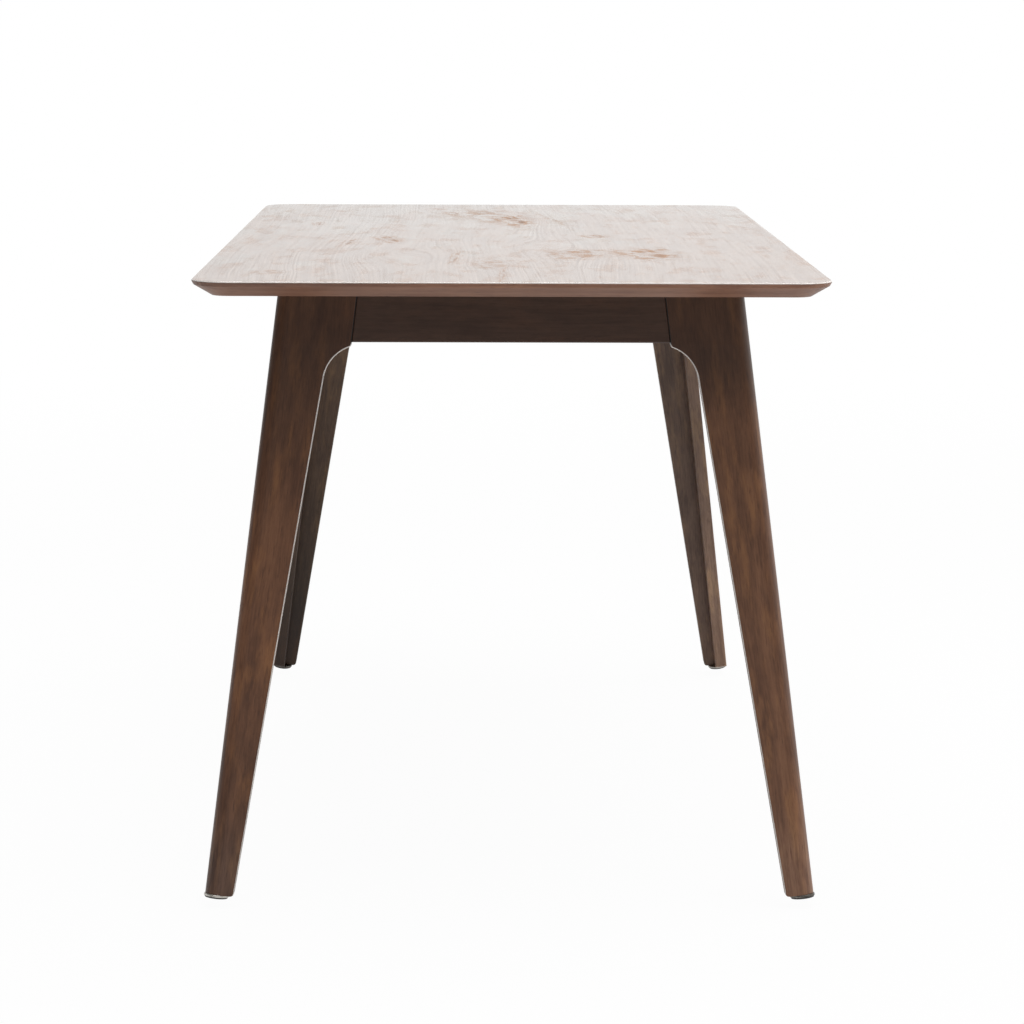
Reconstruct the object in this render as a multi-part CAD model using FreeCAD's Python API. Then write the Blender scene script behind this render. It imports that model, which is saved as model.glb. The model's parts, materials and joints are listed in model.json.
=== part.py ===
import FreeCAD, Part
import math
import os
from FreeCAD import Vector

# A dining table: a veneered top with a bevelled rim, aprons set in under it, splayed corner legs of
# L section and levelling feet. Millimetres, +Z up, length along Y, the floor at z = 0 below the middle.

# Top
top_length = 1400.0
top_width = 750.0
table_height = 750.0
top_thick = 19.0
face_veneer = 1.0
back_veneer = 1.0
lipping_width = 48.0
top_corner_round = 44.0    # plan radius of the top's corners
rim_round = 1.8            # round-over along the upper rim
rim_flat = 0.7             # upright edge below the round-over
rim_facet = 4.0            # height of the narrow leaning facet below that
rim_undercut = 2.2         # how far that facet leans in
bevel_in = 23.5            # how far the bevel under the edge reaches in

# Legs
side_overhang = 96.0       # from the top's long edge to the leg, under the top
end_overhang = 115.0
splay_angle = 7.0          # lean of every outer face, in degrees
wing_thick = 18.0
wing_head_width = 96.0     # beside the aprons
wing_knee_width = 69.5     # the straight taper, at the height of the nib
wing_foot_width = 35.0     # the straight taper, at the floor
nib_drop = 5.0             # how far the head reaches below the apron
haunch_radius = 48.0
leg_corner_round = 16.0
arris_round = 1.5          # eased edges of legs and aprons
nib_round = 3.0            # lower corner of the head
toe_round = 5.0            # corner between the foot and the inner end of a wing
post_width = 45.0          # glue block inside the leg's head
post_height = 56.0

# Aprons, braces and centre rail
apron_height = 63.0
apron_thick = 18.0
apron_setback = 1.0        # behind the legs' faces
brace_thick = 20.0
brace_height = 48.0
brace_clear = 12.0         # from the leg's head to the brace
rail_thick = 22.0
rail_height = 45.0

# Fasteners
hole_clear = 0.05          # all round, in drilled holes
dowel_dia = 8.0
dowel_length = 36.0
dowel_spacing = 30.0
dowel_cover = 5.0          # apron left behind the rail's dowels
rail_dowel_spacing = 22.0
bolt_dia = 8.0
bolt_cover = 7.5           # post left past the bolt's tip
bolt_tip = 6.0
bolt_point_dia = 1.0
bolt_tail = 8.0            # thread left past the nut
bolt_drop = 31.0           # below the underside of the top
bolt_slip = 0.5            # all round, where the bolt passes through the brace
washer_dia = 18.0
washer_thick = 1.6
nut_flats = 13.0
nut_height = 6.5
screw_dia = 4.0
screw_head_dia = 8.0
screw_head_height = 2.5
screw_point = 3.0
screw_cover = 5.0          # wood left past a screw's point
head_clear = 0.5           # all round, between a screw's head and its pocket
brace_screw_grip = 8.0     # brace left under the screw's head
brace_screw_spacing = 24.0
top_screw_grip = 22.0      # brace or rail left under the screw's head
brace_top_screw_offset = 42.0   # along the brace, each side of the bolt
rail_top_screw_pitch = 180.0

# Levelling feet
stem_inset = 14.0          # from both outer faces of the leg to the stem
insert_dia = 9.0
insert_length = 18.0
stem_dia = 6.0
stem_length = 25.0         # above the collar
stem_clear = 0.05          # running clearance all round, in the insert
stem_bore_clear = 0.4      # all round, above the insert
stem_bore_spare = 3.0      # bore left above the stem
collar_flats = 7.0
collar_height = 2.0
collar_clear = 0.4         # between the collar and the insert above it
neck_dia = 4.0
neck_clear = 0.1           # all round, where the neck turns in the cup
rivet_dia = 9.0            # riveted end of the stem, inside the cup
rivet_thick = 0.9
rivet_room = 0.5           # all round the riveted end
end_play = 0.1             # of the stem in the cup
cup_dia = 30.0
cup_plate = 1.0
cup_round = 0.8
cup_gap = 0.15             # below the foot of the leg, with the stem wound home
glide_dia = 28.0
glide_sunk = 0.6           # held in the cup
glide_proud = 2.0          # below the cup
glide_round = 0.8

# Derived levels and places
under_z = table_height - top_thick
apron_low = under_z - apron_height
nib_z = apron_low - nib_drop
splay = math.tan(math.radians(splay_angle))
half_x = top_width / 2 - side_overhang
half_y = top_length / 2 - end_overhang
apron_far = apron_setback + apron_thick
leg_up = Vector(-splay, -splay, 1.0).normalize()
inward = Vector(-1, -1, 0).normalize()    # from the back right corner to the middle
reach = top_length + table_height    # longer than any piece, for cutting blocks
touching = 0.01                      # a point this near to an edge or face lies on it

# Levels on the stem's axis, from the foot of the leg upwards
cup_height = cup_plate + rivet_thick + 2 * end_play + glide_sunk
cup_top = -cup_gap
plate_low = cup_top - cup_plate
cup_low = cup_top - cup_height
glide_top = cup_low + glide_sunk
glide_low = cup_low - glide_proud
rivet_top = plate_low - end_play
collar_low = cup_top + end_play
collar_top = collar_low + collar_height
insert_low = collar_top + collar_clear
insert_top = insert_low + insert_length
stem_top = collar_top + stem_length
bore_top = stem_top + stem_bore_spare

# The lowest point of the glide's rounded edge stands on the floor
lean_sine = math.sqrt(1 - leg_up.z ** 2)
edge_height = (glide_dia / 2 - glide_round) * lean_sine + glide_round
sole_height = edge_height - (glide_low + glide_round) * leg_up.z

corners = {
    "front_left": (-1, -1),
    "front_right": (1, -1),
    "back_left": (-1, 1),
    "back_right": (1, 1),
}


def out_x(z):
    return half_x + splay * (under_z - z)


def out_y(z):
    return half_y + splay * (under_z - z)


def taper_width(z):
    return wing_foot_width + (wing_knee_width - wing_foot_width) * z / nib_z


def face_of(points):
    return Part.Face(Part.makePolygon(points + points[:1]))


def frustum(low, high):
    """Solid between two polygons whose matching edges are parallel."""
    faces = [face_of(low), face_of(high)]
    for i in range(len(low)):
        j = (i + 1) % len(low)
        faces.append(face_of([low[i], low[j], high[j], high[i]]))
    shell = Part.Shell(faces)
    shell.sewShape()
    solid = Part.Solid(shell)
    inside_out = solid.Orientation == "Reversed"
    return Part.Solid(shell.reversed()) if inside_out else solid


def cylinder(radius, start, end):
    along = end - start
    return Part.makeCylinder(radius, along.Length, start, along)


def cone(start_radius, end_radius, start, end):
    along = end - start
    return Part.makeCone(start_radius, end_radius, along.Length, start, along)


def hexagon(flats, start, end):
    along = end - start
    radius = flats / math.sqrt(3)
    points = []
    for i in range(6):
        turn = math.radians(60 * i)
        points.append(Vector(radius * math.cos(turn), radius * math.sin(turn), 0))
    solid = face_of(points).extrude(Vector(0, 0, along.Length))
    solid.Placement = FreeCAD.Placement(start, FreeCAD.Rotation(Vector(0, 0, 1), along))
    return solid


def half_space(point, normal):
    """Large block on the side of a plane that the normal points to."""
    block = Part.makeBox(2 * reach, 2 * reach, reach, Vector(-reach, -reach, 0))
    block.Placement = FreeCAD.Placement(point, FreeCAD.Rotation(Vector(0, 0, 1), normal))
    return block


def edges_at(shape, points):
    found = []
    for point in points:
        vertex = Part.Vertex(point)
        found += [edge for edge in shape.Edges if edge.distToShape(vertex)[0] < touching]
    return found


def to_corner(shape, signs):
    """Mirror a piece from the back right corner to another one."""
    placed = shape.copy()
    if signs[0] < 0:
        placed = placed.mirror(Vector(0, 0, 0), Vector(1, 0, 0))
    if signs[1] < 0:
        placed = placed.mirror(Vector(0, 0, 0), Vector(0, 1, 0))
    return placed


def to_diagonal(shape):
    """Mirror a piece of the corner leg from its side wing to its end wing."""
    return shape.mirror(Vector(half_x, half_y, 0), Vector(1, -1, 0))


def all_corners(shapes):
    return [to_corner(shape, signs) for signs in corners.values() for shape in shapes]


def save(name, shapes):
    shape = shapes[0] if len(shapes) == 1 else Part.makeCompound(shapes)
    shape.exportStep("parts/" + name + ".step")


# Screws: a pan head on its seat, a plain shank and a point, and the pocket and hole that they need

def screw(seat, along, length):
    head = cylinder(screw_head_dia / 2, seat - along * screw_head_height, seat)
    neck_end = seat + along * (length - screw_point)
    shank = cylinder(screw_dia / 2, seat, neck_end)
    point = cone(screw_dia / 2, 0, neck_end, seat + along * length)
    return head.fuse(shank).fuse(point).removeSplitter()


def screw_hole(seat, along, length):
    hole = cylinder(screw_dia / 2 + hole_clear, seat, seat + along * length)
    pocket = cylinder(screw_head_dia / 2 + head_clear, seat - along * brace_height, seat)
    return hole.fuse(pocket)


# Top: one blank with the bevelled rim, cut into face veneer, lippings, core and back veneer

def rim_profile(half):
    """Half section of the top, from its middle out to the rim."""
    round_z = table_height - rim_round
    flat_z = round_z - rim_flat
    rim_points = [
        Vector(0, 0, table_height),
        Vector(0, 0, under_z),
        Vector(half - bevel_in, 0, under_z),
        Vector(half - rim_undercut, 0, flat_z - rim_facet),
        Vector(half, 0, flat_z),
        Vector(half, 0, round_z),
    ]
    edges = [Part.LineSegment(a, b).toShape() for a, b in zip(rim_points, rim_points[1:])]
    round_centre = Vector(half - rim_round, 0, round_z)
    round_middle = round_centre + Vector(1, 0, 1).normalize() * rim_round
    round_end = Vector(half - rim_round, 0, table_height)
    edges.append(Part.Arc(rim_points[-1], round_middle, round_end).toShape())
    edges.append(Part.LineSegment(round_end, rim_points[0]).toShape())
    return Part.Face(Part.Wire(edges))


def top_blank():
    straight_x = top_width / 2 - top_corner_round
    straight_y = top_length / 2 - top_corner_round
    upright = Vector(0, 0, 1)
    centre = Vector(0, 0, 0)
    side = rim_profile(top_width / 2)
    side.translate(Vector(0, -straight_y, 0))
    side_bar = side.extrude(Vector(0, 2 * straight_y, 0))
    end = rim_profile(top_length / 2)
    end.rotate(centre, upright, 90)
    end.translate(Vector(-straight_x, 0, 0))
    end_bar = end.extrude(Vector(2 * straight_x, 0, 0))
    disc = rim_profile(top_corner_round).revolve(centre, upright, 360)
    disc.translate(Vector(straight_x, straight_y, 0))
    pieces = [side_bar, side_bar.mirror(centre, Vector(1, 0, 0))]
    pieces += [end_bar, end_bar.mirror(centre, Vector(0, 1, 0))]
    pieces += all_corners([disc])
    return pieces[0].multiFuse(pieces[1:]).removeSplitter()


def lipping_sector(outer, inner):
    """Mitred strip of the plan, given as four points round it."""
    low = [Vector(x, y, under_z) for x, y in outer + inner]
    return face_of(low).extrude(Vector(0, 0, top_thick - face_veneer))


def make_top(screw_holes):
    blank = top_blank()
    ox = top_width / 2
    oy = top_length / 2
    ix = ox - lipping_width
    iy = oy - lipping_width
    veneer_z = table_height - face_veneer
    veneer_slab = Part.makeBox(2 * ox, 2 * oy, face_veneer, Vector(-ox, -oy, veneer_z))
    backer = Part.makeBox(2 * ix, 2 * iy, back_veneer, Vector(-ix, -iy, under_z))
    core_z = under_z + back_veneer
    core = Part.makeBox(2 * ix, 2 * iy, veneer_z - core_z, Vector(-ix, -iy, core_z))
    save("top_face_veneer", [blank.common(veneer_slab)])
    save("top_back_veneer", [backer.cut(screw_holes)])
    save("top_core", [core.cut(screw_holes)])
    front = lipping_sector([(-ox, -oy), (ox, -oy)], [(ix, -iy), (-ix, -iy)])
    right = lipping_sector([(ox, -oy), (ox, oy)], [(ix, iy), (ix, -iy)])
    back = lipping_sector([(ox, oy), (-ox, oy)], [(-ix, iy), (ix, iy)])
    left = lipping_sector([(-ox, oy), (-ox, -oy)], [(-ix, -iy), (-ix, iy)])
    for name, sector in zip(("front", "right", "back", "left"), (front, right, back, left)):
        save("top_lipping_" + name, [blank.common(sector)])


# Legs

def haunch(nib):
    """Middle and end of the arc that runs from the nib into the straight taper, tangent to it."""
    lean = splay + (wing_knee_width - wing_foot_width) / nib_z
    upward = Vector(0, -lean, 1).normalize()
    away = Vector(0, -1, -lean).normalize()
    taper_point = Vector(0, out_y(nib_z) - wing_knee_width, nib_z)
    offset = nib - taper_point
    across = offset.dot(away)
    climb = math.sqrt(2 * haunch_radius * across - across ** 2)
    tangent = taper_point + upward * (offset.dot(upward) - climb)
    centre = tangent + away * haunch_radius
    toward_middle = ((tangent - centre) + (nib - centre)).normalize()
    return centre + toward_middle * haunch_radius, tangent


def side_wing_blank():
    """Side wing up to the outer corner, longer than needed at the foot."""
    low_z = -wing_foot_width
    head = Vector(0, out_y(under_z) - wing_head_width, under_z)
    nib = Vector(0, out_y(nib_z) - wing_head_width, nib_z)
    arc_middle, tangent = haunch(nib)
    foot_inner = Vector(0, out_y(low_z) - taper_width(low_z), low_z)
    foot_outer = Vector(0, out_y(low_z), low_z)
    head_outer = Vector(0, out_y(under_z), under_z)
    outline = [
        Part.LineSegment(head, nib).toShape(),
        Part.Arc(nib, arc_middle, tangent).toShape(),
        Part.LineSegment(tangent, foot_inner).toShape(),
        Part.LineSegment(foot_inner, foot_outer).toShape(),
        Part.LineSegment(foot_outer, head_outer).toShape(),
        Part.LineSegment(head_outer, head).toShape(),
    ]
    plate = Part.Face(Part.Wire(outline)).extrude(Vector(top_width, 0, 0))
    section = [
        Vector(out_x(low_z) - wing_thick, 0, low_z),
        Vector(out_x(low_z), 0, low_z),
        Vector(out_x(under_z), 0, under_z),
        Vector(out_x(under_z) - wing_thick, 0, under_z),
    ]
    slab = face_of(section).extrude(Vector(0, top_length, 0))
    middle_z = (tangent.z + low_z) / 2
    arris_points = []
    for face_offset in (0, wing_thick):
        for point in (Vector(0, out_y(middle_z) - taper_width(middle_z), middle_z), arc_middle):
            arris_points.append(Vector(out_x(point.z) - face_offset, point.y, point.z))
    joint_z = (under_z + nib_z) / 2
    arris_points.append(Vector(out_x(joint_z), out_y(joint_z) - wing_head_width, joint_z))
    return plate.common(slab), arris_points


def sole_point():
    """Where the stem's axis meets the foot of the leg."""
    return Vector(out_x(sole_height) - stem_inset, out_y(sole_height) - stem_inset, sole_height)


def toe_waste():
    """What rounding takes off the corner between the foot of the leg and the end of its side wing."""
    middle = wing_thick / 2
    low, high = [Vector(out_x(z) - middle, out_y(z) - taper_width(z), z) for z in (0, nib_z)]
    rise = high - low
    toe = low + rise * ((sole_point() - low).dot(leg_up) / rise.dot(leg_up))
    along = leg_up.cross(rise.cross(Vector(1, 0, 0))).normalize()
    up_end = rise - along * rise.dot(along)
    up_end.normalize()
    inside = leg_up.cross(along)
    if inside.y < 0:
        inside = inside * -1
    half_angle = up_end.getAngle(inside) / 2
    between = (up_end + inside).normalize()
    arc_start = toe + up_end * (toe_round / math.tan(half_angle))
    arc_end = toe + inside * (toe_round / math.tan(half_angle))
    arc_middle = toe + between * (toe_round / math.sin(half_angle) - toe_round)
    outside = toe - between * toe_round
    outline = [
        Part.Arc(arc_start, arc_middle, arc_end).toShape(),
        Part.LineSegment(arc_end, outside).toShape(),
        Part.LineSegment(outside, arc_start).toShape(),
    ]
    waste = Part.Face(Part.Wire(outline))
    waste.translate(along * -wing_thick)
    return waste.extrude(along * (2 * wing_thick))


def both_wings(points):
    """Points of the side wing and the matching ones of the end wing."""
    return points + [to_diagonal(Part.Vertex(point)).Point for point in points]


def corner_leg():
    """Both wings as one piece, with the rounded corner and eased edges."""
    side, arris_points = side_wing_blank()
    leg = side.fuse(to_diagonal(side)).removeSplitter()
    middle_z = under_z / 2
    corner_edge = edges_at(leg, [Vector(out_x(middle_z), out_y(middle_z), middle_z)])
    leg = leg.makeFillet(min(leg_corner_round, wing_thick - arris_round), corner_edge)
    nib = Vector(out_x(nib_z) - wing_thick / 2, out_y(nib_z) - wing_head_width, nib_z)
    leg = leg.makeFillet(nib_round, edges_at(leg, both_wings([nib])))
    leg = leg.makeFillet(arris_round, edges_at(leg, both_wings(arris_points)))
    waste = toe_waste()
    return leg.common(half_space(sole_point(), leg_up)).cut([waste, to_diagonal(waste)])


def on_stem(rise):
    """Point on the stem's axis, so far above the foot of the leg."""
    return sole_point() + leg_up * rise


def leg_bore():
    """Hole up the leg for the collar and the insert and, above them, for the end of the stem."""
    wide = cylinder(insert_dia / 2 + hole_clear, on_stem(-wing_foot_width), on_stem(insert_top))
    return wide.fuse(cylinder(stem_dia / 2 + stem_bore_clear, on_stem(insert_top), on_stem(bore_top)))


def apron_dowel_axes():
    """Middles of the dowels between the side apron and the leg's side wing."""
    depth = (apron_setback + min(wing_thick, apron_far)) / 2
    middle_z = under_z - apron_height / 2
    axes = []
    for z in (middle_z - dowel_spacing / 2, middle_z + dowel_spacing / 2):
        axes.append(Vector(out_x(z) - depth, out_y(z) - wing_head_width, z))
    return axes


def apron_dowels(radius, spare):
    half = Vector(0, dowel_length / 2 + spare, 0)
    return [cylinder(radius, middle - half, middle + half) for middle in apron_dowel_axes()]


def post_section(z):
    x = out_x(z) - wing_thick
    y = out_y(z) - wing_thick
    far_x = x - post_width
    far_y = y - post_width
    half = post_width / 2
    plan = [(x, y), (x, far_y), (x - half, far_y), (far_x, y - half), (far_x, y)]
    return [Vector(px, py, z) for px, py in plan]


def make_legs(bolt_hole):
    leg = corner_leg().cut(leg_bore())
    holes = Part.makeCompound(apron_dowels(dowel_dia / 2 + hole_clear, hole_clear))
    side_half = half_space(Vector(half_x, half_y, 0), Vector(1, -1, 0))
    side_wing = leg.common(side_half).cut(holes)
    end_wing = to_diagonal(side_wing)
    post = frustum(post_section(under_z - post_height), post_section(under_z)).cut(bolt_hole)
    for name, signs in corners.items():
        save("leg_" + name + "_side_wing", [to_corner(side_wing, signs)])
        save("leg_" + name + "_end_wing", [to_corner(end_wing, signs)])
        save("leg_" + name + "_post", [to_corner(post, signs)])


# Aprons, braces and centre rail

def apron_inner_x(z):
    return out_x(z) - apron_far


def apron_inner_y(z):
    return out_y(z) - apron_far


def side_apron_section(z):
    run = out_y(z) - wing_head_width
    near = out_x(z) - apron_setback
    far = apron_inner_x(z)
    return [Vector(far, -run, z), Vector(near, -run, z), Vector(near, run, z), Vector(far, run, z)]


def end_apron_section(z):
    run = out_x(z) - wing_head_width
    near = out_y(z) - apron_setback
    far = apron_inner_y(z)
    return [Vector(-run, far, z), Vector(-run, near, z), Vector(run, near, z), Vector(run, far, z)]


def eased_apron(section):
    """Apron with its lower edges and the upright edges of its outer face eased."""
    low = section(apron_low)
    high = section(under_z)
    inner_start, outer_start, outer_end, inner_end = low
    apron = frustum(low, high)
    lower_edges = [(inner_start + inner_end) / 2, (outer_start + outer_end) / 2]
    upright_edges = [(outer_start + high[1]) / 2, (outer_end + high[2]) / 2]
    return apron.makeFillet(arris_round, edges_at(apron, lower_edges + upright_edges))


def brace_plane(depth):
    """Sum of x and y on a plane across the corner, so far behind the brace's outer face."""
    outer_face = half_x - apron_far + half_y - wing_head_width - brace_clear
    return outer_face - depth * math.sqrt(2)


def brace_section(z):
    x = apron_inner_x(z)
    y = apron_inner_y(z)
    near = brace_plane(0)
    far = brace_plane(brace_thick)
    return [Vector(x, near - x, z), Vector(x, far - x, z), Vector(far - y, y, z), Vector(near - y, y, z)]


def bolt_point(plane_sum):
    """Point of the bolt's axis on a plane across the corner."""
    z = under_z - bolt_drop
    corner = Vector(out_x(z), out_y(z), z)
    return corner + inward * ((corner.x + corner.y - plane_sum) / math.sqrt(2))


def bolt_ends():
    z = under_z - bolt_drop
    post_corner = Vector(out_x(z) - wing_thick, out_y(z) - wing_thick, z)
    start = post_corner + inward * bolt_cover
    end = bolt_point(brace_plane(brace_thick)) + inward * (washer_thick + nut_height + bolt_tail)
    return start, end


def brace_screws():
    """Seats and directions of the screws that hold the brace's end to the side apron."""
    middle_sum = brace_plane(brace_thick / 2)
    middle_z = under_z - brace_height / 2
    seats = []
    for z in (middle_z - brace_screw_spacing / 2, middle_z + brace_screw_spacing / 2):
        x = apron_inner_x(z)
        seats.append(Vector(x - brace_screw_grip, middle_sum - x, z))
    return seats


def brace_top_screws():
    """Seats of the screws that go up through the brace into the top."""
    along_brace = Vector(1, -1, 0).normalize() * brace_top_screw_offset
    middle = bolt_point(brace_plane(brace_thick / 2))
    seat_z = under_z - top_screw_grip
    return [Vector(middle.x + s * along_brace.x, middle.y + s * along_brace.y, seat_z) for s in (-1, 1)]


def rail_top_screws():
    seat_z = under_z - top_screw_grip
    return [Vector(step * rail_top_screw_pitch, 0, seat_z) for step in (-1, 0, 1)]


def make_frame():
    upright = Vector(0, 0, 1)
    outward = Vector(1, 0, 0)
    brace_screw_length = brace_screw_grip + apron_thick - screw_cover
    top_screw_length = top_screw_grip + top_thick - face_veneer - screw_cover

    side_screws = [screw(seat, outward, brace_screw_length) for seat in brace_screws()]
    side_screw_holes = [screw_hole(seat, outward, brace_screw_length) for seat in brace_screws()]
    end_screws = [to_diagonal(shape) for shape in side_screws]
    end_screw_holes = [to_diagonal(shape) for shape in side_screw_holes]
    top_screws = [screw(seat, upright, top_screw_length) for seat in brace_top_screws()]
    top_holes = [screw_hole(seat, upright, top_screw_length) for seat in brace_top_screws()]
    rail_screws = [screw(seat, upright, top_screw_length) for seat in rail_top_screws()]
    rail_holes = [screw_hole(seat, upright, top_screw_length) for seat in rail_top_screws()]
    save("brace_screws", all_corners(side_screws + end_screws))
    save("top_screws", all_corners(top_screws) + rail_screws)

    start, end = bolt_ends()
    tip_end = start + inward * bolt_tip
    shank = cylinder(bolt_dia / 2, tip_end, end)
    bolt = cone(bolt_point_dia / 2, bolt_dia / 2, start, tip_end).fuse(shank).removeSplitter()
    bolt_hole = cylinder(bolt_dia / 2 + hole_clear, start, end)
    brace_hole = cylinder(bolt_dia / 2 + bolt_slip, start, end)
    seat = bolt_point(brace_plane(brace_thick))
    washer_end = seat + inward * washer_thick
    washer = cylinder(washer_dia / 2, seat, washer_end).cut(brace_hole)
    nut = hexagon(nut_flats, washer_end, washer_end + inward * nut_height).cut(bolt_hole)
    save("hanger_bolts", all_corners([bolt]))
    save("bolt_washers", all_corners([washer]))
    save("bolt_nuts", all_corners([nut]))

    brace = frustum(brace_section(under_z - brace_height), brace_section(under_z))
    brace = brace.cut(Part.makeCompound(side_screw_holes + end_screw_holes + top_holes + [brace_hole]))
    for name, signs in corners.items():
        save("corner_brace_" + name, [to_corner(brace, signs)])

    rail_dowel_z = under_z - rail_height / 2
    rail_dowels = []
    rail_dowel_holes = []
    for z in (rail_dowel_z - rail_dowel_spacing / 2, rail_dowel_z + rail_dowel_spacing / 2):
        middle = Vector(apron_inner_x(z), 0, z)
        half = Vector(apron_thick - dowel_cover, 0, 0)
        spare = Vector(hole_clear, 0, 0)
        rail_dowels.append(cylinder(dowel_dia / 2, middle - half, middle + half))
        hole = cylinder(dowel_dia / 2 + hole_clear, middle - half - spare, middle + half + spare)
        rail_dowel_holes.append(hole)
    mirrored = [shape.mirror(Vector(0, 0, 0), outward) for shape in rail_dowels]
    save("rail_dowels", rail_dowels + mirrored)

    def rail_section(z):
        x = apron_inner_x(z)
        y = rail_thick / 2
        return [Vector(-x, -y, z), Vector(x, -y, z), Vector(x, y, z), Vector(-x, y, z)]

    rail = frustum(rail_section(under_z - rail_height), rail_section(under_z))
    rail_cuts = rail_dowel_holes + [shape.mirror(Vector(0, 0, 0), outward) for shape in rail_dowel_holes]
    save("centre_rail", [rail.cut(Part.makeCompound(rail_cuts + rail_holes))])

    dowels = apron_dowels(dowel_dia / 2, 0)
    save("apron_dowels", all_corners(dowels + [to_diagonal(shape) for shape in dowels]))
    dowel_holes = apron_dowels(dowel_dia / 2 + hole_clear, hole_clear)
    end_dowel_holes = [to_diagonal(shape) for shape in dowel_holes]
    side_cuts = all_corners(dowel_holes + side_screw_holes) + rail_dowel_holes
    end_cuts = all_corners(end_dowel_holes + end_screw_holes)
    right = eased_apron(side_apron_section).cut(Part.makeCompound(side_cuts))
    back = eased_apron(end_apron_section).cut(Part.makeCompound(end_cuts))
    save("apron_right", [right])
    save("apron_left", [right.mirror(Vector(0, 0, 0), outward)])
    save("apron_back", [back])
    save("apron_front", [back.mirror(Vector(0, 0, 0), Vector(0, 1, 0))])

    make_legs(bolt_hole)
    make_top(Part.makeCompound(all_corners(top_holes) + rail_holes))


# Levelling feet: a threaded insert in the leg, a stem with a collar to turn it by, and a pad made of a
# plated cup, riveted on the stem, with a plastic glide pressed into it

def rounded_disc(diameter, low, high, edge_level, radius):
    """Disc on the stem's axis with one of its edges rounded."""
    disc = cylinder(diameter / 2, on_stem(low), on_stem(high))
    middle = on_stem(edge_level)
    rim = [edge for edge in disc.Edges if edge.CenterOfMass.distanceToPoint(middle) < touching]
    return disc.makeFillet(radius, rim)


def make_feet():
    bore = cylinder(stem_dia / 2 + stem_clear, on_stem(insert_low), on_stem(insert_top))
    insert = cylinder(insert_dia / 2, on_stem(insert_low), on_stem(insert_top)).cut(bore)

    shank = cylinder(stem_dia / 2, on_stem(collar_top), on_stem(stem_top))
    collar = hexagon(collar_flats, on_stem(collar_low), on_stem(collar_top))
    neck = cylinder(neck_dia / 2, on_stem(rivet_top), on_stem(collar_low))
    head = cylinder(rivet_dia / 2, on_stem(rivet_top - rivet_thick), on_stem(rivet_top))
    stem = shank.fuse([collar, neck, head]).removeSplitter()

    cup = rounded_disc(cup_dia, cup_low, cup_top, cup_top, cup_round)
    neck_hole = cylinder(neck_dia / 2 + neck_clear, on_stem(cup_low), on_stem(cup_top))
    rivet_space = cylinder(rivet_dia / 2 + rivet_room, on_stem(cup_low), on_stem(plate_low))
    seat = cylinder(glide_dia / 2, on_stem(cup_low), on_stem(glide_top))
    cup = cup.cut([neck_hole, rivet_space, seat])
    glide = rounded_disc(glide_dia, glide_low, glide_top, glide_low, glide_round)

    save("foot_inserts", all_corners([insert]))
    for name, signs in corners.items():
        save("foot_stem_" + name, [to_corner(stem, signs)])
        save("foot_cup_" + name, [to_corner(cup, signs)])
        save("foot_glide_" + name, [to_corner(glide, signs)])


os.makedirs("parts", exist_ok=True)
make_frame()
make_feet()
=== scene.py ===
import json
import math

import bmesh
import bpy
from mathutils import Matrix, Vector


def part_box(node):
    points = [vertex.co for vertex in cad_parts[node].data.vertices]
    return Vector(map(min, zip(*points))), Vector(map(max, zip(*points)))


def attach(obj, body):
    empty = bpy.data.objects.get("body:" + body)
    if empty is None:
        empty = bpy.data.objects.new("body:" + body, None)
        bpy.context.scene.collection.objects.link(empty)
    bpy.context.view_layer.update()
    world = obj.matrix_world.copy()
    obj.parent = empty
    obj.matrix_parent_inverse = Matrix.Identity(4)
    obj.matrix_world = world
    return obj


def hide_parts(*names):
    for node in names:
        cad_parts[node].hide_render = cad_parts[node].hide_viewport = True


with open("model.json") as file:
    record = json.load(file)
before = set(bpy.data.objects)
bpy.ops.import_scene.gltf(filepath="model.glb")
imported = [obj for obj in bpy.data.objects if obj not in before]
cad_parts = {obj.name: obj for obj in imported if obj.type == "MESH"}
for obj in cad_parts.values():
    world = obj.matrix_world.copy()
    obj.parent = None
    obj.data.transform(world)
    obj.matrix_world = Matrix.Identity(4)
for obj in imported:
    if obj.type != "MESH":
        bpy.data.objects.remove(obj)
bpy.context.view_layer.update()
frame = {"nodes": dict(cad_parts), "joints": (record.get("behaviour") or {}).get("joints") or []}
nodes = frame["nodes"]
print("frame loaded,", len(nodes), "nodes")

# camera: where the photograph was taken from, metres and radians
photoCamera = {
    "place": (-0.0465, -4.2721, 1.0678),
    "yaw": 0.01313,         # turned to the right
    "pitch": 0.1629,        # looking down
    "roll": 0.0039,
    "focalPixels": 3091.5,
    "imagePixels": 1024.0,
    "sensor": 36.0,
}


def placeCamera(setup):
    data = bpy.data.cameras.new("photoCamera")
    data.sensor_width = setup["sensor"]
    data.lens = setup["focalPixels"] * setup["sensor"] / setup["imagePixels"]
    camera = bpy.data.objects.new("photoCamera", data)
    turn = Matrix.Rotation(-setup["yaw"], 4, "Z")
    turn = turn @ Matrix.Rotation(math.pi / 2 - setup["pitch"], 4, "X")
    turn = turn @ Matrix.Rotation(setup["roll"], 4, "Z")
    camera.matrix_world = Matrix.Translation(setup["place"]) @ turn
    bpy.context.scene.collection.objects.link(camera)
    bpy.context.scene.camera = camera


placeCamera(photoCamera)
print("camera placed")


# node helpers: each input takes a value or a link
def setInputs(tree, node, inputs):
    for key, value in inputs.items():
        if isinstance(value, bpy.types.NodeSocket):
            tree.links.new(value, node.inputs[key])
        else:
            node.inputs[key].default_value = value


def addNode(tree, kind, inputs, **settings):
    node = tree.nodes.new(kind)
    for key, value in settings.items():
        setattr(node, key, value)
    setInputs(tree, node, inputs)
    return node


def calc(tree, operation, first, second=0.0, third=0.0):
    return addNode(tree, "ShaderNodeMath", {0: first, 1: second, 2: third}, operation=operation).outputs[0]


def product(tree, first, *others):
    for other in others:
        first = calc(tree, "MULTIPLY", first, other)
    return first


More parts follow.
